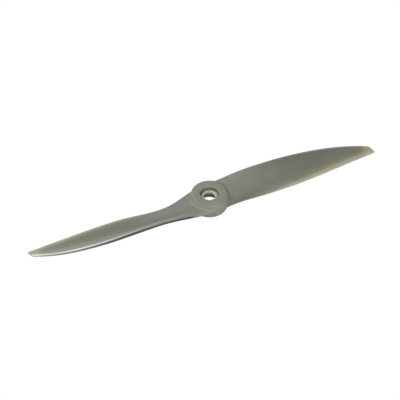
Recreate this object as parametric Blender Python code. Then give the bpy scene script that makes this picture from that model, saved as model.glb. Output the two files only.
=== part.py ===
"""A two-blade propeller for a radio-controlled model aircraft, with its loose shaft adapter ring.

The propeller is 203.2 mm (8 in) across with a pitch of about 101.6 mm (4 in).
Its hub has a 6.35 mm (1/4 in) bore through a thin web, a recess in the front face that holds
the adapter ring, and another recess in the back face.

Frame: the origin is the centre of the hub's back face, on the bore's axis.
+Z is the direction of flight, out of the front face. +X runs along blade_a.
+Y is the side of blade_a's leading edge. blade_b is blade_a turned half a turn about Z.
"""

import math

import bmesh
import bpy
import numpy as np

MM = 0.001
INCH = 25.4 * MM

# Driving dimensions
TIP_RADIUS = 4.0 * INCH
PITCH = 4.0 * INCH
BORE_RADIUS = 0.125 * INCH
HUB_RADIUS = 10.0 * MM
HUB_HEIGHT = 8.6 * MM
MESH_GAP = 0.3 * MM          # clearance between neighbouring solids

# Hub details. A round is given as its reach across the face and its reach along the wall.
FRONT_RECESS_RADIUS = 5.0 * MM
FRONT_RECESS_DEPTH = 3.8 * MM
BACK_RECESS_RADIUS = 5.3 * MM
BACK_RECESS_DEPTH = 3.6 * MM
FRONT_EDGE_ROUND = (1.4 * MM, 0.45 * MM)
FRONT_LIP_ROUND = (1.0 * MM, 0.4 * MM)
BACK_EDGE_ROUND = (0.3 * MM, 0.3 * MM)

# Adapter ring, standing in the front recess
RING_RADIUS = FRONT_RECESS_RADIUS - MESH_GAP
RING_HEIGHT = 1.7 * MM
RING_EDGE_ROUND = 0.25 * MM

# Blade design stations: the fraction of the tip radius, the chord as seen from the front, how far
# the middle of the chord lies towards +Y, its height, the greatest thickness, and the camber as a
# fraction of the chord.
BLADE_STATIONS = (
    (0.00, 20.2 * MM, 0.00 * MM, 4.30 * MM, 6.0 * MM, 0.000),
    (0.04, 20.0 * MM, 0.35 * MM, 4.30 * MM, 6.0 * MM, 0.000),
    (0.10, 18.7 * MM, 0.80 * MM, 4.25 * MM, 5.2 * MM, 0.000),
    (0.18, 17.1 * MM, 1.50 * MM, 4.15 * MM, 3.7 * MM, 0.010),
    (0.27, 16.5 * MM, 1.55 * MM, 4.15 * MM, 2.9 * MM, 0.022),
    (0.46, 17.6 * MM, 0.90 * MM, 4.45 * MM, 2.4 * MM, 0.035),
    (0.60, 16.9 * MM, 0.70 * MM, 4.30 * MM, 2.0 * MM, 0.038),
    (0.72, 14.9 * MM, 0.35 * MM, 4.15 * MM, 1.6 * MM, 0.038),
    (0.83, 11.9 * MM, -0.40 * MM, 3.95 * MM, 1.3 * MM, 0.035),
    (0.92, 8.4 * MM, -1.60 * MM, 3.85 * MM, 1.05 * MM, 0.030),
    (1.00, 4.4 * MM, -3.10 * MM, 3.70 * MM, 0.75 * MM, 0.025),
)
STATION, CHORD, SWEEP, HEIGHT, THICKNESS, CAMBER = np.array(BLADE_STATIONS).T

# Blade twist
TIP_PITCH_GAIN = 0.5         # how much coarser the pitch is at the very tip
TIP_PITCH_START = 0.88       # fraction of the tip radius where that gain starts
ROOT_TWIST_RADIUS = 0.23     # fraction of the tip radius inside which the root untwists
ROOT_TWIST_POWER = 2.65
LEAST_HELIX_RADIUS = 0.5 * MM    # keeps the helix angle finite on the axis

# Blade section
WING_LAW = (0.2969, -0.1260, -0.3516, 0.2843, -0.1015)   # four-digit wing section, per 0.2 of thickness
FULLEST_SHARE = 0.3          # fraction of the chord where that section is thickest
NOSE_POWER = 4               # ahead of there a blunt nose takes over: 2 is an ellipse, more is blunter
CAMBER_PEAK = 0.4            # fraction of the chord where the camber is greatest
TRAILING_EDGE = 0.4 * MM     # thickness of the blunt trailing edge
ROOT_LENS_SHARE = 0.26       # the section is a symmetric lens at the axis and a wing from here on

# Slanted tip cut, from the leading edge to the trailing edge's corner
TIP_CUT_START = 0.98
TIP_CUT_POWER = 1.5
TIP_CORNER_WIDTH = 0.8 * MM

# Mesh fineness
TURN_STEPS = 48
ARC_STEPS = 3
SPAN_STEPS = 30
CHORD_STEPS = 11
BLADE_ROOT = 6.0 * MM        # the blade solid starts inside the hub's radius, and is cut back
CUTTER_HEIGHT = 3.0 * HUB_HEIGHT
HUB_SHARP_ANGLE = 35.0       # degrees
BLADE_SHARP_ANGLE = 40.0

MOULDING_COLOUR = (0.20, 0.21, 0.16)
MOULDING_ROUGHNESS = 0.42
RING_COLOUR = (0.40, 0.42, 0.35)
RING_ROUGHNESS = 0.35


def clear_scene():
    for thing in list(bpy.data.objects):
        bpy.data.objects.remove(thing, do_unlink=True)


def plastic(name, colour, roughness):
    """A plain moulded plastic."""
    material = bpy.data.materials.new(name)
    material.use_nodes = True
    shader = material.node_tree.nodes["Principled BSDF"]
    shader.inputs["Base Color"].default_value = (*colour, 1.0)
    shader.inputs["Roughness"].default_value = roughness
    shader.inputs["Metallic"].default_value = 0.0
    return material


def add_object(name, mesh, material):
    thing = bpy.data.objects.new(name, mesh)
    bpy.context.scene.collection.objects.link(thing)
    if material is not None and not mesh.materials:
        mesh.materials.append(material)
    return thing


def finish_mesh(name, bm, sharp_degrees):
    """Turns the bmesh into a smooth-shaded mesh whose faces point out."""
    bmesh.ops.recalc_face_normals(bm, faces=bm.faces)
    mesh = bpy.data.meshes.new(name)
    bm.to_mesh(mesh)
    bm.free()
    mesh.shade_smooth()
    mesh.set_sharp_from_angle(angle=math.radians(sharp_degrees))
    return mesh


def smooth_step(start, end, value):
    share = np.clip((value - start) / (end - start), 0.0, 1.0)
    return share * share * (3.0 - 2.0 * share)


def station_curve(values, at):
    """A natural cubic spline through one column of the blade stations."""
    gaps = np.diff(STATION)
    slopes = np.diff(values) / gaps
    system = np.eye(len(STATION))
    target = np.zeros(len(STATION))
    for i in range(1, len(STATION) - 1):
        system[i, i - 1:i + 2] = gaps[i - 1], 2.0 * (gaps[i - 1] + gaps[i]), gaps[i]
        target[i] = 6.0 * (slopes[i] - slopes[i - 1])
    bend = np.linalg.solve(system, target)
    i = min(max(int(np.searchsorted(STATION, at)) - 1, 0), len(gaps) - 1)
    t = at - STATION[i]
    start_slope = slopes[i] - gaps[i] * (2.0 * bend[i] + bend[i + 1]) / 6.0
    bend_growth = (bend[i + 1] - bend[i]) / (6.0 * gaps[i])
    return values[i] + t * (start_slope + t * (bend[i] / 2.0 + t * bend_growth))


def arc(centre, reach, start_degrees, end_degrees):
    """Points along an elliptic arc in the radius-height plane, with both ends."""
    angles = np.radians(np.linspace(start_degrees, end_degrees, ARC_STEPS + 1))
    return [(centre[0] + reach[0] * math.cos(a), centre[1] + reach[1] * math.sin(a)) for a in angles]


def turned(name, profile, material):
    """A solid of revolution about Z from a closed outline of (radius, height) points."""
    bm = bmesh.new()
    corners = [bm.verts.new((radius, 0.0, height)) for radius, height in profile]
    edges = [bm.edges.new((a, b)) for a, b in zip(corners, corners[1:] + corners[:1])]
    bmesh.ops.spin(bm, geom=edges, axis=(0, 0, 1), cent=(0, 0, 0),
                   angle=math.tau, steps=TURN_STEPS, use_duplicate=False)
    bmesh.ops.remove_doubles(bm, verts=bm.verts, dist=0.001 * MM)
    return add_object(name, finish_mesh(name, bm, HUB_SHARP_ANGLE), material)


def hub_outline():
    """The hub's outline: bore, shoulder, front recess, front face, wall, back face, back recess."""
    top = HUB_HEIGHT
    shoulder = HUB_HEIGHT - FRONT_RECESS_DEPTH
    lip = FRONT_LIP_ROUND
    front = FRONT_EDGE_ROUND
    back = BACK_EDGE_ROUND
    outline = [(BORE_RADIUS, BACK_RECESS_DEPTH), (BORE_RADIUS, shoulder), (FRONT_RECESS_RADIUS, shoulder)]
    outline += arc((FRONT_RECESS_RADIUS + lip[0], top - lip[1]), lip, 180, 90)
    outline += arc((HUB_RADIUS - front[0], top - front[1]), front, 90, 0)
    outline += arc((HUB_RADIUS - back[0], back[1]), back, 0, -90)
    outline += [(BACK_RECESS_RADIUS, 0.0), (BACK_RECESS_RADIUS, BACK_RECESS_DEPTH)]
    return outline


def make_hub(material):
    return turned("hub", hub_outline(), material)


def make_adapter_ring(material):
    """The ring's origin is on the bore's axis, at its own back face, just off the shoulder."""
    edge = RING_EDGE_ROUND
    outline = [(BORE_RADIUS, 0.0), (BORE_RADIUS, RING_HEIGHT - edge)]
    outline += [(BORE_RADIUS + edge, RING_HEIGHT)]
    outline += arc((RING_RADIUS - edge, RING_HEIGHT - edge), (edge, edge), 90, 0)
    outline += [(RING_RADIUS, edge), (RING_RADIUS - edge, 0.0)]
    ring = turned("adapter_ring", outline, material)
    ring.location.z = HUB_HEIGHT - FRONT_RECESS_DEPTH + MESH_GAP
    return ring


def blade_twist(station):
    """The chord line's slope angle: a helix of constant pitch that untwists at the root."""
    radius = max(station * TIP_RADIUS, LEAST_HELIX_RADIUS)
    pitch = PITCH * (1.0 + TIP_PITCH_GAIN * smooth_step(TIP_PITCH_START, 1.0, station))
    untwist = 1.0 - math.exp(-((station / ROOT_TWIST_RADIUS) ** ROOT_TWIST_POWER))
    return math.atan(pitch / (math.tau * radius)) * untwist


def tip_cut_share(station, full_chord):
    """How much of the chord the slanted tip cut takes off the front of the section."""
    progress = max((station - TIP_CUT_START) / (1.0 - TIP_CUT_START), 0.0)
    return progress ** TIP_CUT_POWER * (1.0 - TIP_CORNER_WIDTH / full_chord)


def wing_half(share, thickness):
    """Half the thickness of the wing section, with its blunt nose."""
    if share < FULLEST_SHARE:
        return 0.5 * thickness * math.sqrt(1.0 - (1.0 - share / FULLEST_SHARE) ** NOSE_POWER)
    powers = (math.sqrt(share), share, share ** 2, share ** 3, share ** 4)
    return 5.0 * thickness * sum(factor * power for factor, power in zip(WING_LAW, powers))


def section_middle_and_half(share, station, chord):
    """The camber line's height and half the thickness, at a share of the chord from its front."""
    thickness = station_curve(THICKNESS, station)
    wing = wing_half(share, thickness)
    lens = thickness * math.sqrt(max(share * (1.0 - share), 0.0))
    wing_share = smooth_step(0.0, ROOT_LENS_SHARE, station)
    half = wing * wing_share + lens * (1.0 - wing_share) + 0.5 * TRAILING_EDGE * share
    rise = share / CAMBER_PEAK if share < CAMBER_PEAK else (1.0 - share) / (1.0 - CAMBER_PEAK)
    middle = station_curve(CAMBER, station) * chord * rise * (2.0 - rise)
    return middle, half


def blade_section(station):
    """One section of blade_a across X: a ring of points from the front, over the top and back below."""
    full_chord = station_curve(CHORD, station)
    middle_y = station_curve(SWEEP, station)
    middle_z = station_curve(HEIGHT, station)
    twist = blade_twist(station)
    chord = full_chord / math.cos(twist)
    cut = tip_cut_share(station, full_chord)
    upper = []
    lower = []
    for i in range(CHORD_STEPS + 1):
        from_cut = (1.0 - cut) * 0.5 * (1.0 - math.cos(math.pi * i / CHORD_STEPS))
        middle, half = section_middle_and_half(cut + from_cut, station, chord)
        if cut > 0.0:
            half *= min(1.0, math.sqrt(from_cut * chord / (0.5 * TRAILING_EDGE)))
        along = (0.5 - cut - from_cut) * chord
        for skin, height in ((upper, middle + half), (lower, middle - half)):
            y = middle_y + along * math.cos(twist) - height * math.sin(twist)
            z = middle_z + along * math.sin(twist) + height * math.cos(twist)
            skin.append((station * TIP_RADIUS, y, z))
    return upper + lower[:0:-1]


def blade_stations():
    """Stations along the blade, closer together towards the tip."""
    root = BLADE_ROOT / TIP_RADIUS
    return [root + (1.0 - root) * math.sin(0.5 * math.pi * i / SPAN_STEPS) for i in range(SPAN_STEPS + 1)]


def blade_mesh():
    """The whole blade as one closed loft through its sections."""
    bm = bmesh.new()
    rings = [[bm.verts.new(point) for point in blade_section(s)] for s in blade_stations()]
    for inner, outer in zip(rings, rings[1:]):
        for i in range(len(inner)):
            j = (i + 1) % len(inner)
            bm.faces.new((inner[i], inner[j], outer[j], outer[i]))
    bm.faces.new(rings[0])
    bm.faces.new(rings[-1])
    return finish_mesh("blade", bm, BLADE_SHARP_ANGLE)


def make_hub_cutter():
    """A drum that trims both blade roots to stand just clear of the hub."""
    bm = bmesh.new()
    drum_radius = HUB_RADIUS + MESH_GAP
    bmesh.ops.create_cone(bm, cap_ends=True, segments=TURN_STEPS, radius1=drum_radius,
                          radius2=drum_radius, depth=CUTTER_HEIGHT)
    mesh = finish_mesh("hub_clearance_cutter", bm, HUB_SHARP_ANGLE)
    cutter = add_object("hub_clearance_cutter", mesh, None)
    cutter.hide_render = True
    cutter.display_type = "WIRE"
    return cutter


def make_blades(material):
    mesh = blade_mesh()
    cutter = make_hub_cutter()
    for name, turn in (("blade_a", 0.0), ("blade_b", math.pi)):
        blade = add_object(name, mesh, material)
        blade.rotation_euler.z = turn
        trim = blade.modifiers.new("clear_of_hub", "BOOLEAN")
        trim.operation = "DIFFERENCE"
        trim.solver = "EXACT"
        trim.object = cutter


def build():
    clear_scene()
    moulding = plastic("grey_glass_filled_nylon", MOULDING_COLOUR, MOULDING_ROUGHNESS)
    adapter = plastic("pale_grey_nylon", RING_COLOUR, RING_ROUGHNESS)
    make_hub(moulding)
    make_blades(moulding)
    make_adapter_ring(adapter)


build()
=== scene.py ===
"""Looks of the two-blade model aircraft propeller and its loose adapter ring.

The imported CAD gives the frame, the hub's and the ring's sizes and the joint. The propeller is one
injection moulding, so one continuous mesh stands for the CAD's hub and both blades. It is worked
out here in millimetres from the same blade stations as the CAD, and ends up in metres.
"""

import math

import bmesh
import bpy
import numpy as np
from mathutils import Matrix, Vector


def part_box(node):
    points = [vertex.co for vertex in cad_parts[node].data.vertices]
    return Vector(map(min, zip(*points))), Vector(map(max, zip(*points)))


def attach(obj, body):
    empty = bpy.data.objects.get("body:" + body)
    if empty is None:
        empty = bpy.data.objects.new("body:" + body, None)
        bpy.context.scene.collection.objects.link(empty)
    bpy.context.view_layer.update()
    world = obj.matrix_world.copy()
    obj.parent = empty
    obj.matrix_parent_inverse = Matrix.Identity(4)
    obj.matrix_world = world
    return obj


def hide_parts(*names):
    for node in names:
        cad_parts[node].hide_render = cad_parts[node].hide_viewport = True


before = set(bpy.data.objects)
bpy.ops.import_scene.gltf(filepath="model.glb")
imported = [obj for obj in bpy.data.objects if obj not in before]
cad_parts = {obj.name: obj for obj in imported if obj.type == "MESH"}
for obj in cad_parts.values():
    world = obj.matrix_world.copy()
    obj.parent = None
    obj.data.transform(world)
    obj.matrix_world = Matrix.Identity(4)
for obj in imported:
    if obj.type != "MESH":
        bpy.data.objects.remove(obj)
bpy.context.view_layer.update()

MM = 0.001

# Sizes taken from the CAD, in millimetres
HUB_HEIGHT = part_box("hub")[1].z / MM
HUB_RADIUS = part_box("hub")[1].x / MM
TIP_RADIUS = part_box("blade_a")[1].x / MM
RING_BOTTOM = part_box("adapter_ring")[0].z / MM
RING_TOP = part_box("adapter_ring")[1].z / MM
RING_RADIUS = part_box("adapter_ring")[1].x / MM
MESH_GAP = 0.3               # the clearance that the CAD leaves round the ring and under it

# The hub's stepped bore and edges, as in the CAD. A round is given as its reach across the face
# and its reach along the wall.
BORE_RADIUS = 3.175
FRONT_RECESS_RADIUS = RING_RADIUS + MESH_GAP
SHOULDER = RING_BOTTOM - MESH_GAP
BACK_RECESS_RADIUS = 5.3
BACK_RECESS_DEPTH = 3.6
FRONT_EDGE_ROUND = (1.4, 0.45)
FRONT_LIP_ROUND = (1.0, 0.4)
BACK_EDGE_ROUND = (0.3, 0.3)
INNER_CORNER_ROUND = (0.25, 0.25)
BORE_CHAMFER = 0.12
WALL_DRAFT = 0.06            # how much smaller the wall's radius is at both ends than at mid-height

# The adapter ring's edges, as reaches like those above
RING_EDGE_ROUND = (0.3, 0.3)
RING_LEAD_IN = (0.25, 0.25)

# The blade, as in the CAD: fraction of the tip radius, chord seen from the front, offset of the
# chord's middle towards +Y, its height, greatest thickness, and camber as a fraction of the chord.
BLADE_STATIONS = (
    (0.00, 20.2, 0.00, 4.30, 6.0, 0.000),
    (0.04, 20.0, 0.35, 4.30, 6.0, 0.000),
    (0.10, 18.7, 0.80, 4.25, 5.2, 0.000),
    (0.18, 17.1, 1.50, 4.15, 3.7, 0.010),
    (0.27, 16.5, 1.55, 4.15, 2.9, 0.022),
    (0.46, 17.6, 0.90, 4.45, 2.4, 0.035),
    (0.60, 16.9, 0.70, 4.30, 2.0, 0.038),
    (0.72, 14.9, 0.35, 4.15, 1.6, 0.038),
    (0.83, 11.9, -0.40, 3.95, 1.3, 0.035),
    (0.92, 8.4, -1.60, 3.85, 1.05, 0.030),
    (1.00, 4.4, -3.10, 3.70, 0.75, 0.025),
)
STATION, CHORD, SWEEP, HEIGHT, THICKNESS, CAMBER = np.array(BLADE_STATIONS).T

# The blade's twist, as in the CAD
PITCH = 101.6
TIP_PITCH_GAIN = 0.5         # how much coarser the pitch is at the very tip
TIP_PITCH_START = 0.88       # fraction of the tip radius where that gain starts
ROOT_TWIST_RADIUS = 0.23     # fraction of the tip radius inside which the root untwists
ROOT_TWIST_POWER = 2.65
LEAST_HELIX_RADIUS = 0.5     # keeps the helix angle finite on the axis

# The blade's section, as in the CAD
WING_LAW = (0.2969, -0.1260, -0.3516, 0.2843, -0.1015)   # four-digit section, per 0.2 of thickness
WING_LAW_SCALE = 5.0
FULLEST_SHARE = 0.3          # fraction of the chord where that section is thickest
NOSE_POWER = 4               # ahead of there a blunt nose takes over: more is blunter
CAMBER_PEAK = 0.4            # fraction of the chord where the camber is greatest
TRAILING_EDGE = 0.4          # thickness of the blunt trailing edge
ROOT_LENS_SHARE = 0.26       # the section is a symmetric lens at the axis and a wing from here on

# The tip's slanted cut and its edges
TIP_CUT_START = 0.98
TIP_CUT_POWER = 1.5
TIP_CORNER_ROUND = 0.8       # the tip's trailing corner, seen from the front
TIP_EDGE_ROUND = 0.3
LEAST_TIP_REACH = 0.002      # keeps the last section from closing to a line
LEAST_NOSE_ROUND = 0.02
LEAST_SECTION = 0.01         # share of the chord that the cut always leaves
EDGE_INSET = 0.03            # the round edges stay this far inside the CAD's faceted outline

# The fillet where the blades' skins rise to the hub's wall
FILLET_WIDTH = 1.6
FILLET_HEIGHT = 0.8
FILLET_ROOM_SHARE = 0.9      # of the height left up to the hub's face
FILLET_FULL_AT = 0.5         # where the section is thinner than twice this, the fillet is lower too

# What the material is told about the moulding. A pair is where something starts and where it is
# in full: along the blade in fractions of the tip radius, on the section in shares of its greatest
# thickness above the middle line, or behind the leading edge in millimetres or shares of the chord.
THICKEST = 8.0               # walls thicker than this look the same
HUB_MARGIN = 0.5             # how far outside the hub's radius the wall still counts as the hub's
ROOT_EDGE_EXTRA = 0.8        # the trailing edge is coloured as if this much thicker at the root
ROOT_EDGE_SPAN = (0.15, 0.50)
TIP_GLOW = 0.23              # the tip gets more painted through-light, as if it were this much thinner
TIP_GLOW_SPAN = (0.90, 0.98)
EDGE_LINES_SPAN = (0.10, 0.17)   # both painted lines along the leading edge, shade and highlight, start here
SHADE_LINE_LEVEL = (0.35, 0.23)   # the painted shade line, under the leading edge
SHADE_LINE_ROOT_DROP = 0.15       # it sits this much lower near the hub
SHADE_LINE_ROOT_SPAN = (0.25, 0.50)
SHADE_LINE_BEHIND = (0.05, 0.12)
SHADE_LINE_FADE_SPAN = (0.50, 0.92)
HIGHLIGHT_LEVEL = (0.32, 0.40)    # the painted highlight line, above it
HIGHLIGHT_BEHIND = (0.90, 1.60)
HIGHLIGHT_LEAST = 0.18            # near the hub
HIGHLIGHT_GAIN = 0.62
HIGHLIGHT_GAIN_SPAN = (0.30, 0.72)
HIGHLIGHT_TIP_LOSS = 0.38
HIGHLIGHT_TIP_SPAN = (0.75, 0.92)
BLADE_A_HIGHLIGHT = 0.35          # blade_a's edge gets less painted highlight, and less painted shade, than blade_b's
BLADE_A_SHADE_LINE = 0.5

# Mesh fineness
TURN_STEPS = 192
ARC_STEPS = 8
SPAN_FINE_STEP = 0.25        # along the span near the hub
SPAN_STEP = 1.0
FINE_TO = 15.0
TIP_STEPS = 40
CHORD_STEPS = 72
EDGE_CROWDING = 0.9          # 0 spaces the chord's points evenly, 1 crowds them at both edges
WELD_DISTANCE = 0.0001
TOOL_OVERSHOOT = 1.0         # how far the bore's cutter stands out of the hub
MOULDING_CREASE = 38         # edges sharper than this, in degrees, aren't smoothed
RING_CREASE = 45

# Colour of the nylon by its thickness in millimetres: painted light through thin parts, painted
# shade mid-blade
WALL_COLOURS_AND_THROUGH_LIGHT = (
    (0.40, (0.390, 0.380, 0.290)),
    (0.50, (0.350, 0.340, 0.250)),
    (0.70, (0.300, 0.290, 0.208)),
    (0.85, (0.272, 0.262, 0.186)),
    (0.97, (0.196, 0.193, 0.143)),
    (1.15, (0.163, 0.165, 0.125)),
    (1.35, (0.145, 0.150, 0.119)),
    (1.80, (0.132, 0.140, 0.111)),
    (2.40, (0.132, 0.140, 0.111)),
    (2.85, (0.153, 0.162, 0.129)),
    (3.70, (0.168, 0.179, 0.142)),
    (8.00, (0.178, 0.187, 0.148)),
)
# Painted shade for the line under the leading edge, and painted highlight for the line on top of it
PAINTED_SHADE_COLOUR = (0.02, 0.02, 0.015)
PAINTED_HIGHLIGHT_COLOUR = (0.90, 0.90, 0.82)

# Textures. A noise's scale is per metre, and its stops are (position, colour). A bump is its
# strength and its height in metres.
CLOUD_SCALE = 160.0
CLOUD_TINTS = ((0.3, (0.93, 0.95, 0.93)), (0.7, (1.07, 1.05, 1.07)))
STREAK_SCALE = 900.0
STREAK_TINTS = ((0.35, (0.97, 0.97, 0.97)), (0.75, (1.08, 1.06, 1.02)))
GRAIN_SCALE = 5200.0
FLOW_STRETCH = (0.25, 1.0, 1.0)  # clouds and streaks are drawn out along the blades
NOISE_MIDDLE = (0.3, 0.8)    # where most of a noise's values lie
HIGHLIGHT_STREAK_MIDDLE = (0.3, 0.7)
HIGHLIGHT_STREAK_SHARE = (0.85, 1.0)    # the streaks leave this much of the painted highlight line
PAINTED_SHADE_SHARE = 0.90           # how much of the plastic's own colour the painted shade hides
GRAIN_BUMP = (0.15, 0.00002)
STREAK_BUMP = (0.25, 0.00008)
RING_CLOUD_SCALE = 420.0
RING_FACE_COLOURS = ((0.3, (0.27, 0.285, 0.235)), (0.75, (0.34, 0.355, 0.295)))
# The bore is painted far paler than the face: painted light on the bore's wall
RING_BORE_PAINTED_LIGHT_COLOURS = ((0.3, (0.74, 0.75, 0.64)), (0.75, (0.86, 0.87, 0.76)))
TURNING_MARK_SCALE = 900.0
TURNING_MARK_WOBBLE = 1.5
TURNING_MARK_BUMP = (0.2, 0.00003)

# Gloss
NYLON_IOR = 1.53
SATIN_ROUGHNESS = (0.34, 0.44)
RING_ROUGHNESS = (0.26, 0.36)
DULL_WALL = (0.45, 0.65)     # shares of THICKEST between which the moulding grows duller
WALL_DULLING = 0.18
# rougher along the painted shade line
SHADE_LINE_DULLING = 0.35

# Studio
FLOOR_HALF_SIZE = 3.0
FLOOR_GLOW = 1.0
FLOOR_BOUNCE = 0.6
CEILING_LIGHT = 0.12
HORIZON_LIGHT = 0.45
HORIZON_HEIGHT = 0.45        # the sine of the elevation where the horizon's light has faded out
# Softboxes: azimuth and elevation in degrees, distance, width and height in metres, and watts
SOFTBOXES = (
    ("back_softbox", -152.0, 51.0, 0.60, 0.50, 0.44, 3.2),
    ("front_card", 0.0, 9.0, 0.60, 0.95, 0.16, 3.0),
    ("front_key", -22.0, 52.0, 0.60, 0.22, 0.22, 1.6),
)

# The photographer's view
VIEW_AZIMUTH = -24.38
VIEW_ELEVATION = 47.0
VIEW_DISTANCE = 0.541
VIEW_TARGET = Vector((-0.0034, 0.0049, 0.0))
LENS = 88.6
SENSOR = 36.0
CLIP_RANGE = (0.01, 20.0)


# ---------------------------------------------------------------- shared shape helpers

def smooth_step(start, end, value):
    """0 at the start and 1 at the end, with a soft S between them."""
    share = np.clip((value - start) / (end - start), 0.0, 1.0)
    return share * share * (3.0 - 2.0 * share)


def station_curve(values, at):
    """A natural cubic spline through one column of the blade stations."""
    gaps = np.diff(STATION)
    slopes = np.diff(values) / gaps
    system = np.eye(len(STATION))
    target = np.zeros(len(STATION))
    for i in range(1, len(STATION) - 1):
        system[i, i - 1:i + 2] = gaps[i - 1], 2.0 * (gaps[i - 1] + gaps[i]), gaps[i]
        target[i] = 6.0 * (slopes[i] - slopes[i - 1])
    bend = np.linalg.solve(system, target)
    i = np.clip(np.searchsorted(STATION, at) - 1, 0, len(gaps) - 1)
    t = at - STATION[i]
    start_slope = slopes[i] - gaps[i] * (2.0 * bend[i] + bend[i + 1]) / 6.0
    bend_slope = (bend[i + 1] - bend[i]) / gaps[i]
    return values[i] + t * (start_slope + t * (bend[i] / 2.0 + t * bend_slope / 6.0))


def round_off(distance, radius):
    """The height share of a round edge, at a distance in from the edge."""
    inward = np.clip(distance / radius, 0.0, 1.0)
    return np.sqrt(1.0 - (1.0 - inward) ** 2)


def arc(centre, reach, start_degrees, end_degrees):
    """Points along an elliptic arc in the radius-height plane, with both ends."""
    angles = np.radians(np.linspace(start_degrees, end_degrees, ARC_STEPS + 1))
    return [(centre[0] + reach[0] * math.cos(angle),
             centre[1] + reach[1] * math.sin(angle)) for angle in angles]


def mesh_object(name, points, faces):
    mesh = bpy.data.meshes.new(name)
    mesh.from_pydata(points, [], faces)
    bm = bmesh.new()
    bm.from_mesh(mesh)
    bmesh.ops.remove_doubles(bm, verts=bm.verts, dist=WELD_DISTANCE)
    bmesh.ops.recalc_face_normals(bm, faces=bm.faces)
    bm.to_mesh(mesh)
    bm.free()
    thing = bpy.data.objects.new(name, mesh)
    bpy.context.scene.collection.objects.link(thing)
    return thing


def turned(name, outline):
    """A solid of revolution about Z. The outline is closed, or runs from the axis to the axis."""
    points = []
    for step in range(TURN_STEPS):
        angle = math.tau * step / TURN_STEPS
        points += [(r * math.cos(angle), r * math.sin(angle), z) for r, z in outline]
    count = len(outline)
    faces = []
    for step in range(TURN_STEPS):
        here = step * count
        there = (step + 1) % TURN_STEPS * count
        faces += [(here + i, there + i, there + (i + 1) % count, here + (i + 1) % count)
                  for i in range(count)]
    return mesh_object(name, points, faces)


def combine(target, tool, operation):
    """Joins one object with another, or cuts it, and throws the tool away."""
    step = target.modifiers.new("combine", "BOOLEAN")
    step.operation = operation
    step.solver = "EXACT"
    step.object = tool
    depsgraph = bpy.context.evaluated_depsgraph_get()
    result = bpy.data.meshes.new_from_object(target.evaluated_get(depsgraph), depsgraph=depsgraph)
    target.modifiers.clear()
    target.data = result
    bpy.data.objects.remove(tool)


def vertex_places(mesh):
    places = np.empty(len(mesh.vertices) * 3)
    mesh.vertices.foreach_get("co", places)
    return places.reshape(-1, 3)


def to_metres(thing, sharp_degrees):
    """Scales a mesh from millimetres to metres, and smooths all but its sharp edges."""
    mesh = thing.data
    mesh.vertices.foreach_set("co", vertex_places(mesh).ravel() * MM)
    mesh.update()
    mesh.shade_smooth()
    mesh.set_sharp_from_angle(angle=math.radians(sharp_degrees))


def store_attribute(mesh, name, values):
    layer = mesh.attributes.new(name, "FLOAT", "POINT")
    layer.data.foreach_set("value", values.astype(np.float32))


# ---------------------------------------------------------------- the propeller moulding

def blade_twist(station):
    """The helix angle of a constant pitch, untwisted towards the hub, in radians."""
    radius = np.maximum(station * TIP_RADIUS, LEAST_HELIX_RADIUS)
    pitch = PITCH * (1.0 + TIP_PITCH_GAIN * smooth_step(TIP_PITCH_START, 1.0, station))
    untwist = 1.0 - np.exp(-((station / ROOT_TWIST_RADIUS) ** ROOT_TWIST_POWER))
    return np.arctan(pitch / (math.tau * radius)) * untwist


def half_thickness(share, station, chord):
    """Half the section's thickness at a share of the chord from the leading edge."""
    thickness = station_curve(THICKNESS, station)
    powers = (np.sqrt(share), share, share ** 2, share ** 3, share ** 4)
    law = sum(factor * power for factor, power in zip(WING_LAW, powers))
    wing = WING_LAW_SCALE * thickness * law
    ahead = np.clip(1.0 - share / FULLEST_SHARE, 0.0, 1.0)
    nose = 0.5 * thickness * np.sqrt(1.0 - ahead ** NOSE_POWER)
    wing = np.where(share < FULLEST_SHARE, nose, wing)
    wing = wing + 0.5 * TRAILING_EDGE * share
    wing = wing * round_off((1.0 - share) * chord, 0.5 * TRAILING_EDGE)
    lens = thickness * np.sqrt(np.clip(share * (1.0 - share), 0.0, None))
    wing_share = smooth_step(0.0, ROOT_LENS_SHARE, station)
    return wing * wing_share + lens * (1.0 - wing_share)


def camber_line(share, station, chord):
    """Height of the section's middle line: two parabolas that meet at its peak."""
    rise = np.where(share < CAMBER_PEAK, share / CAMBER_PEAK, (1.0 - share) / (1.0 - CAMBER_PEAK))
    return station_curve(CAMBER, station) * chord * rise * (2.0 - rise)


def outline_shares(station, half_chord):
    """Shares of the chord where the section starts and ends, after the tip's cut and corner."""
    full = 2.0 * half_chord
    inset = EDGE_INSET / full
    cut = np.clip((station - TIP_CUT_START) / (1.0 - TIP_CUT_START), 0.0, 1.0)
    front = inset + cut ** TIP_CUT_POWER * (full - 2.0 * TRAILING_EDGE) / full
    into_corner = np.clip((station - 1.0) * TIP_RADIUS / TIP_CORNER_ROUND + 1.0, 0.0, 1.0)
    corner = TIP_CORNER_ROUND * (1.0 - np.sqrt(1.0 - into_corner ** 2))
    back = 1.0 - inset - corner / full
    return front, np.maximum(back, front + LEAST_SECTION)


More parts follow.
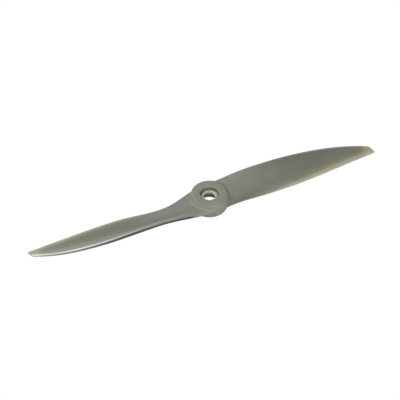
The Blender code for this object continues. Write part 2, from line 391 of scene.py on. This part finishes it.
def blade_section(station):
    """The upper and lower skin of blade_a across X, as two rows of points from front to back."""
    half_chord = 0.5 * station_curve(CHORD, station)
    twist = blade_twist(station)
    chord = 2.0 * half_chord / math.cos(twist)
    front, back = outline_shares(station, half_chord)
    steps = np.arange(CHORD_STEPS + 1) / CHORD_STEPS
    crowded = 0.5 * (1.0 - np.cos(math.pi * steps))
    across = EDGE_CROWDING * crowded + (1.0 - EDGE_CROWDING) * steps
    share = front + (back - front) * across
    half = half_thickness(share, station, chord)
    half = half * round_off((share - front) * chord, np.maximum(half[0], LEAST_NOSE_ROUND))
    half = half * round_off((back - share) * chord, 0.5 * TRAILING_EDGE)
    half = half * round_off((1.0 - station) * TIP_RADIUS + LEAST_TIP_REACH, TIP_EDGE_ROUND)
    middle = camber_line(share, station, chord)
    along = (0.5 - share) * chord
    skins = []
    for height in (middle + half, middle - half):
        x = np.full_like(share, station * TIP_RADIUS)
        y = station_curve(SWEEP, station) + along * math.cos(twist) - height * math.sin(twist)
        z = station_curve(HEIGHT, station) + along * math.sin(twist) + height * math.cos(twist)
        skins.append(np.stack([x, y, z], axis=-1))
    raise_to_hub(skins[0], half, 1.0)
    raise_to_hub(skins[1], half, -1.0)
    return skins


def raise_to_hub(skin, half, side):
    """Sweeps a skin up (side 1) or down (side -1) in a fillet where it nears the hub's wall."""
    from_wall = np.hypot(skin[:, 0], skin[:, 1]) - HUB_RADIUS
    nearness = np.clip(1.0 - np.maximum(from_wall, 0.0) / FILLET_WIDTH, 0.0, 1.0)
    wall_end = HUB_HEIGHT - FRONT_EDGE_ROUND[1] if side > 0 else BACK_EDGE_ROUND[1]
    room = np.clip((wall_end - skin[:, 2]) * side, 0.0, None)
    lift = np.minimum(FILLET_HEIGHT, FILLET_ROOM_SHARE * room) * nearness ** 2
    skin[:, 2] += side * lift * np.clip(half / FILLET_FULL_AT, 0.0, 1.0)


def span_stations():
    """Stations from the axis to the tip: fine at the root and the tip, coarser between."""
    inner = np.arange(0.0, FINE_TO, SPAN_FINE_STEP)
    outer_end = TIP_CUT_START * TIP_RADIUS - SPAN_STEP
    middle = np.linspace(FINE_TO, outer_end, int((outer_end - FINE_TO) / SPAN_STEP))
    turn = 0.5 * math.pi * np.arange(1, TIP_STEPS + 1) / TIP_STEPS
    tip = outer_end + (TIP_RADIUS - outer_end) * np.sin(turn)
    return np.concatenate([inner, middle, tip]) / TIP_RADIUS


def section_rings():
    """Closed rings of points round every section, from blade_b's tip to blade_a's."""
    stations = span_stations()
    half_turn = np.array([-1.0, -1.0, 1.0])
    rings = []
    for station in stations[:0:-1]:
        upper, lower = blade_section(float(station))
        upper = upper[::-1] * half_turn
        lower = lower[::-1] * half_turn
        rings.append(np.concatenate([upper, lower[-2:0:-1]]))
    for station in stations:
        upper, lower = blade_section(float(station))
        rings.append(np.concatenate([upper, lower[-2:0:-1]]))
    return rings


def blade_pair():
    """One closed loft from tip to tip, through the hub."""
    rings = section_rings()
    size = len(rings[0])
    points = np.concatenate(rings).tolist()
    faces = []
    for i in range(len(rings) - 1):
        for j in range(size):
            k = (j + 1) % size
            faces.append((i * size + j, i * size + k, (i + 1) * size + k, (i + 1) * size + j))
    for first in (0, (len(rings) - 1) * size):
        faces += [(first + j, first + j + 1, first + size - j - 1, first + (size - j) % size)
                  for j in range(CHORD_STEPS)]
    return mesh_object("propeller_moulding", points, faces)


def hub_drum():
    """The hub's outside as a solid drum, drafted both ways from its middle."""
    top = HUB_HEIGHT
    front = FRONT_EDGE_ROUND
    back = BACK_EDGE_ROUND
    end_radius = HUB_RADIUS - WALL_DRAFT
    outline = [(0.0, top)]
    outline += arc((end_radius - front[0], top - front[1]), front, 90, 0)
    outline += [(HUB_RADIUS, 0.5 * top)]
    outline += arc((end_radius - back[0], back[1]), back, 0, -90)
    outline += [(0.0, 0.0)]
    return turned("hub_drum", outline)


def bore_tool():
    """Everything that the stepped bore takes out, as a solid."""
    over = HUB_HEIGHT + TOOL_OVERSHOOT
    under = -TOOL_OVERSHOOT
    lip = FRONT_LIP_ROUND
    corner = INNER_CORNER_ROUND
    chamfer = BORE_CHAMFER
    web_top = SHOULDER
    web_bottom = BACK_RECESS_DEPTH
    outline = [(0.0, over), (FRONT_RECESS_RADIUS + lip[0], over)]
    outline += arc((FRONT_RECESS_RADIUS + lip[0], HUB_HEIGHT - lip[1]), lip, 90, 180)
    outline += arc((FRONT_RECESS_RADIUS - corner[0], web_top + corner[1]), corner, 0, -90)
    outline += [(BORE_RADIUS + chamfer, web_top), (BORE_RADIUS, web_top - chamfer)]
    outline += [(BORE_RADIUS, web_bottom + chamfer), (BORE_RADIUS + chamfer, web_bottom)]
    outline += arc((BACK_RECESS_RADIUS - corner[0], web_bottom - corner[1]), corner, 90, 0)
    outline += [(BACK_RECESS_RADIUS, chamfer), (BACK_RECESS_RADIUS + chamfer, 0.0)]
    outline += [(BACK_RECESS_RADIUS + chamfer, under), (0.0, under)]
    return turned("bore_tool", outline)


def blade_places(mesh):
    """Where each point of the moulding is on its blade.

    Gives the station, the share of the chord behind the leading edge, the height above the
    section's middle line, the chord, and whether it is on blade_a's side.
    """
    places = vertex_places(mesh) / MM
    on_blade_a = places[:, 0] >= 0.0
    station = np.clip(np.abs(places[:, 0]) / TIP_RADIUS, 0.0, 1.0)
    twist = blade_twist(station)
    chord = station_curve(CHORD, station) / np.cos(twist)
    from_middle = places[:, 1] * np.where(on_blade_a, 1.0, -1.0) - station_curve(SWEEP, station)
    from_height = places[:, 2] - station_curve(HEIGHT, station)
    along = from_middle * np.cos(twist) + from_height * np.sin(twist)
    share = np.clip(0.5 - along / chord, 0.0, 1.0)
    rise = from_height * np.cos(twist) - from_middle * np.sin(twist)
    rise = rise - camber_line(share, station, chord)
    return station, share, rise, chord, on_blade_a


def on_the_hub(mesh):
    places = vertex_places(mesh) / MM
    return np.hypot(places[:, 0], places[:, 1]) < HUB_RADIUS + HUB_MARGIN


def store_wall(mesh):
    """Stores the moulding's thickness at each point, as a share of the thickest that shows, with
    the tip counted thinner and the root's trailing edge thicker for the painted through-light.
    """
    station, share, _, chord, _ = blade_places(mesh)
    wall = 2.0 * half_thickness(np.maximum(share, FULLEST_SHARE), station, chord)
    wall = wall * (1.0 - TIP_GLOW * smooth_step(*TIP_GLOW_SPAN, station))
    wall = wall + ROOT_EDGE_EXTRA * (1.0 - smooth_step(*ROOT_EDGE_SPAN, station))
    wall = np.where(on_the_hub(mesh), THICKEST, np.minimum(wall, THICKEST))
    store_attribute(mesh, "wall", wall / THICKEST)


def store_edge_lines(mesh):
    """Stores the painted shade under the leading edge, and the painted highlight on top of it, at
    each point.
    """
    station, share, rise, chord, on_blade_a = blade_places(mesh)
    level = rise / station_curve(THICKNESS, station)
    present = np.where(on_the_hub(mesh), 0.0, smooth_step(*EDGE_LINES_SPAN, station))

    # The painted shade line under the leading edge
    root_level = level + SHADE_LINE_ROOT_DROP * (1.0 - smooth_step(*SHADE_LINE_ROOT_SPAN, station))
    painted_shade = smooth_step(*SHADE_LINE_LEVEL, root_level) * (1.0 - smooth_step(*SHADE_LINE_BEHIND, share))
    painted_shade = painted_shade * (1.0 - smooth_step(*SHADE_LINE_FADE_SPAN, station))
    painted_shade = painted_shade * np.where(on_blade_a, BLADE_A_SHADE_LINE, 1.0)
    store_attribute(mesh, "edge_painted_shade", painted_shade * present)

    # The painted highlight line on top of the leading edge
    painted_highlight = smooth_step(*HIGHLIGHT_LEVEL, level) * (1.0 - smooth_step(*HIGHLIGHT_BEHIND, share * chord))
    gain = HIGHLIGHT_GAIN * smooth_step(*HIGHLIGHT_GAIN_SPAN, station)
    loss = HIGHLIGHT_TIP_LOSS * smooth_step(*HIGHLIGHT_TIP_SPAN, station)
    painted_highlight = painted_highlight * (HIGHLIGHT_LEAST + gain - loss) * np.where(on_blade_a, BLADE_A_HIGHLIGHT, 1.0)
    store_attribute(mesh, "edge_painted_highlight", painted_highlight * present)


def make_moulding():
    moulding = blade_pair()
    combine(moulding, hub_drum(), "UNION")
    combine(moulding, bore_tool(), "DIFFERENCE")
    to_metres(moulding, MOULDING_CREASE)
    store_wall(moulding.data)
    store_edge_lines(moulding.data)
    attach(moulding, "propeller")
    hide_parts("hub", "blade_a", "blade_b")
    return moulding


# ---------------------------------------------------------------- the adapter ring

def make_ring():
    """The loose ring, turned, with softly rounded edges and a small lead-in at its bore."""
    top = RING_TOP
    bottom = RING_BOTTOM
    edge = RING_EDGE_ROUND
    lead = RING_LEAD_IN
    outline = arc((BORE_RADIUS + lead[0], bottom + lead[1]), lead, 270, 180)
    outline += arc((BORE_RADIUS + lead[0], top - lead[1]), lead, 180, 90)
    outline += arc((RING_RADIUS - edge[0], top - edge[1]), edge, 90, 0)
    outline += arc((RING_RADIUS - edge[0], bottom + edge[1]), edge, 0, -90)
    ring = turned("adapter_ring_detailed", outline)
    to_metres(ring, RING_CREASE)
    places = vertex_places(ring.data) / MM
    from_axis = np.hypot(places[:, 0], places[:, 1])
    in_bore = 1.0 - smooth_step(BORE_RADIUS, BORE_RADIUS + lead[0], from_axis)
    store_attribute(ring.data, "bored", in_bore)
    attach(ring, "adapter")
    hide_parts("adapter_ring")
    return ring


# ---------------------------------------------------------------- materials

def new_material(name):
    """A material with its nodes and links."""
    material = bpy.data.materials.new(name)
    material.use_nodes = True
    return material, material.node_tree.nodes, material.node_tree.links


def noise(nodes, links, vector, scale, detail, roughness=0.5):
    texture = nodes.new("ShaderNodeTexNoise")
    texture.inputs["Scale"].default_value = scale
    texture.inputs["Detail"].default_value = detail
    texture.inputs["Roughness"].default_value = roughness
    links.new(vector, texture.inputs["Vector"])
    return texture.outputs["Fac"]


def ramp(nodes, links, value, stops):
    """A colour ramp from (position, colour) stops."""
    node = nodes.new("ShaderNodeValToRGB")
    elements = node.color_ramp.elements
    while len(elements) < len(stops):
        elements.new(0.5)
    for element, (position, colour) in zip(elements, stops):
        element.position = position
        element.color = (*colour, 1.0)
    links.new(value, node.inputs["Fac"])
    return node.outputs["Color"]


def remap(nodes, links, value, low, high, to_low, to_high):
    """Stretches the range from low to high into the range from to_low to to_high."""
    node = nodes.new("ShaderNodeMapRange")
    node.inputs["From Min"].default_value = low
    node.inputs["From Max"].default_value = high
    node.inputs["To Min"].default_value = to_low
    node.inputs["To Max"].default_value = to_high
    links.new(value, node.inputs["Value"])
    return node.outputs["Result"]


def calculate(nodes, links, operation, first, second):
    node = nodes.new("ShaderNodeMath")
    node.operation = operation
    links.new(first, node.inputs[0])
    links.new(second, node.inputs[1])
    return node.outputs["Value"]


def attribute(nodes, name):
    node = nodes.new("ShaderNodeAttribute")
    node.attribute_name = name
    return node.outputs["Fac"]


def mix_colour(nodes, links, share, first, second, mode="MIX"):
    """Mixes two colours; each input is a socket, a colour or a number."""
    node = nodes.new("ShaderNodeMix")
    node.data_type = "RGBA"
    node.blend_type = mode
    node.clamp_factor = True
    for name, value in (("Factor", share), ("A", first), ("B", second)):
        socket = node.inputs[name]
        if hasattr(value, "links"):
            links.new(value, socket)
        elif isinstance(value, tuple):
            socket.default_value = (*value, 1.0)
        else:
            socket.default_value = value
    return node.outputs["Result"]


def bump(nodes, links, height, settings, under=None):
    """A bump, on top of another bump's normal where one is given."""
    node = nodes.new("ShaderNodeBump")
    node.inputs["Strength"].default_value, node.inputs["Distance"].default_value = settings
    links.new(height, node.inputs["Height"])
    if under:
        links.new(under, node.inputs["Normal"])
    return node.outputs["Normal"]


def moulding_colour(nodes, links, clouds, streaks, painted_shade):
    """Painted light where the wall is thin, clouded and streaked, with the leading edge's painted
    shade and painted highlight lines.
    """
    # painted light through thin parts, painted shade in the mid-thick blade
    by_wall = [(mm / THICKEST, shade) for mm, shade in WALL_COLOURS_AND_THROUGH_LIGHT]
    colour = ramp(nodes, links, attribute(nodes, "wall"), by_wall)
    cloudy = ramp(nodes, links, clouds, CLOUD_TINTS)
    colour = mix_colour(nodes, links, 1.0, colour, cloudy, "MULTIPLY")
    streaky = ramp(nodes, links, streaks, STREAK_TINTS)
    colour = mix_colour(nodes, links, 1.0, colour, streaky, "MULTIPLY")
    # painted shade under the leading edge, then the painted highlight on top of it
    shade_share = remap(nodes, links, painted_shade, 0.0, 1.0, 0.0, PAINTED_SHADE_SHARE)
    colour = mix_colour(nodes, links, shade_share, colour, PAINTED_SHADE_COLOUR)
    highlight_streaks = remap(nodes, links, streaks, *HIGHLIGHT_STREAK_MIDDLE, *HIGHLIGHT_STREAK_SHARE)
    highlight_share = calculate(nodes, links, "MULTIPLY", attribute(nodes, "edge_painted_highlight"), highlight_streaks)
    return mix_colour(nodes, links, highlight_share, colour, PAINTED_HIGHLIGHT_COLOUR)


def moulding_roughness(nodes, links, streaks, painted_shade):
    """Satin, duller on the thick hub and along the painted shade line."""
    satin = remap(nodes, links, streaks, *NOISE_MIDDLE, *SATIN_ROUGHNESS)
    wall_dulling = remap(nodes, links, attribute(nodes, "wall"), *DULL_WALL, 0.0, WALL_DULLING)
    shade_dulling = remap(nodes, links, painted_shade, 0.0, 1.0, 0.0, SHADE_LINE_DULLING)
    dulling = calculate(nodes, links, "ADD", wall_dulling, shade_dulling)
    return calculate(nodes, links, "ADD", satin, dulling)


def moulding_material():
    """Glass-filled nylon: grey-green, clouded by the flow of the melt, amber where it is thin, with
    light through thin parts and shade in the blades painted in, and painted shade and highlight
    lines along the leading edge.
    """
    material, nodes, links = new_material("moulded_glass_filled_nylon")
    shader = nodes["Principled BSDF"]
    place = nodes.new("ShaderNodeTexCoord").outputs["Object"]
    stretch = nodes.new("ShaderNodeMapping")
    stretch.inputs["Scale"].default_value = FLOW_STRETCH
    links.new(place, stretch.inputs["Vector"])
    clouds = noise(nodes, links, stretch.outputs["Vector"], CLOUD_SCALE, 3.0)
    streaks = noise(nodes, links, stretch.outputs["Vector"], STREAK_SCALE, 4.0, 0.6)
    grain = noise(nodes, links, place, GRAIN_SCALE, 2.0, 0.6)
    painted_shade = attribute(nodes, "edge_painted_shade")

    colour = moulding_colour(nodes, links, clouds, streaks, painted_shade)
    links.new(colour, shader.inputs["Base Color"])
    roughness = moulding_roughness(nodes, links, streaks, painted_shade)
    links.new(roughness, shader.inputs["Roughness"])
    shader.inputs["IOR"].default_value = NYLON_IOR
    fine = bump(nodes, links, grain, GRAIN_BUMP)
    wavy = bump(nodes, links, streaks, STREAK_BUMP, fine)
    links.new(wavy, shader.inputs["Normal"])
    return material


def ring_material():
    """Unfilled nylon, paler than the moulding, with its bore painted far paler as painted light on
    that wall, and faint turning marks round the axis.
    """
    material, nodes, links = new_material("pale_adapter_nylon")
    shader = nodes["Principled BSDF"]
    place = nodes.new("ShaderNodeTexCoord").outputs["Object"]
    clouds = noise(nodes, links, place, RING_CLOUD_SCALE, 3.0)
    face = ramp(nodes, links, clouds, RING_FACE_COLOURS)
    bore = ramp(nodes, links, clouds, RING_BORE_PAINTED_LIGHT_COLOURS)
    # painted light on the bore's wall
    colour = mix_colour(nodes, links, attribute(nodes, "bored"), face, bore)
    links.new(colour, shader.inputs["Base Color"])
    marks = nodes.new("ShaderNodeTexWave")
    marks.wave_type = "RINGS"
    marks.rings_direction = "Z"
    marks.inputs["Scale"].default_value = TURNING_MARK_SCALE
    marks.inputs["Distortion"].default_value = TURNING_MARK_WOBBLE
    links.new(place, marks.inputs["Vector"])
    roughness = remap(nodes, links, marks.outputs["Fac"], 0.0, 1.0, *RING_ROUGHNESS)
    links.new(roughness, shader.inputs["Roughness"])
    grooves = bump(nodes, links, marks.outputs["Fac"], TURNING_MARK_BUMP)
    links.new(grooves, shader.inputs["Normal"])
    return material


# ---------------------------------------------------------------- studio

def towards(azimuth, elevation):
    """The direction from the object to a camera or lamp; azimuth 0 is at the object's -Y side."""
    a = math.radians(azimuth)
    e = math.radians(elevation)
    return Vector((math.sin(a) * math.cos(e), -math.cos(a) * math.cos(e), math.sin(e)))


def softbox(name, azimuth, elevation, distance, width, height, power):
    """A softbox that faces the object."""
    light = bpy.data.lights.new(name, "AREA")
    light.shape = "RECTANGLE"
    light.size = width
    light.size_y = height
    light.energy = power
    lamp = bpy.data.objects.new(name, light)
    back = towards(azimuth, elevation)
    lamp.location = back * distance
    lamp.rotation_euler = back.to_track_quat("Z", "Y").to_euler()
    bpy.context.scene.collection.objects.link(lamp)


def make_floor():
    """A plain white card. The camera sees it evenly lit, as on a light table."""
    bm = bmesh.new()
    bmesh.ops.create_grid(bm, x_segments=1, y_segments=1, size=FLOOR_HALF_SIZE)
    mesh = bpy.data.meshes.new("pale_floor")
    bm.to_mesh(mesh)
    bm.free()
    floor = bpy.data.objects.new("pale_floor", mesh)
    bpy.context.scene.collection.objects.link(floor)
    material, nodes, links = new_material("white_card")
    nodes.remove(nodes["Principled BSDF"])
    card = nodes.new("ShaderNodeBsdfDiffuse")
    card.inputs["Color"].default_value = (FLOOR_BOUNCE, FLOOR_BOUNCE, FLOOR_BOUNCE, 1.0)
    glow = nodes.new("ShaderNodeEmission")
    glow.inputs["Strength"].default_value = FLOOR_GLOW
    mix = nodes.new("ShaderNodeMixShader")
    links.new(nodes.new("ShaderNodeLightPath").outputs["Is Camera Ray"], mix.inputs["Fac"])
    links.new(card.outputs["BSDF"], mix.inputs[1])
    links.new(glow.outputs["Emission"], mix.inputs[2])
    links.new(mix.outputs["Shader"], nodes["Material Output"].inputs["Surface"])
    mesh.materials.append(material)


def make_room():
    """Soft light from all round, brightest at the horizon."""
    world = bpy.data.worlds.new("soft_room")
    world.use_nodes = True
    nodes = world.node_tree.nodes
    links = world.node_tree.links
    direction = nodes.new("ShaderNodeSeparateXYZ")
    links.new(nodes.new("ShaderNodeTexCoord").outputs["Generated"], direction.inputs["Vector"])
    rise = direction.outputs["Z"]
    strength = remap(nodes, links, rise, 0.0, HORIZON_HEIGHT, HORIZON_LIGHT, CEILING_LIGHT)
    links.new(strength, nodes["Background"].inputs["Strength"])
    nodes["Background"].inputs["Color"].default_value = (1.0, 1.0, 1.0, 1.0)
    bpy.context.scene.world = world


def make_studio():
    make_room()
    bpy.context.scene.view_settings.view_transform = "Standard"
    for settings in SOFTBOXES:
        softbox(*settings)
    make_floor()


def make_camera():
    data = bpy.data.cameras.new("camera")
    data.lens = LENS
    data.sensor_width = SENSOR
    camera = bpy.data.objects.new("camera", data)
    bpy.context.scene.collection.objects.link(camera)
    back = towards(VIEW_AZIMUTH, VIEW_ELEVATION)
    camera.location = VIEW_TARGET + back * VIEW_DISTANCE
    camera.rotation_euler = (-back).to_track_quat("-Z", "Y").to_euler()
    data.clip_start, data.clip_end = CLIP_RANGE
    bpy.context.scene.camera = camera


def paint(thing, material):
    thing.data.materials.clear()
    thing.data.materials.append(material)


make_camera()
make_studio()
paint(make_moulding(), moulding_material())
paint(make_ring(), ring_material())
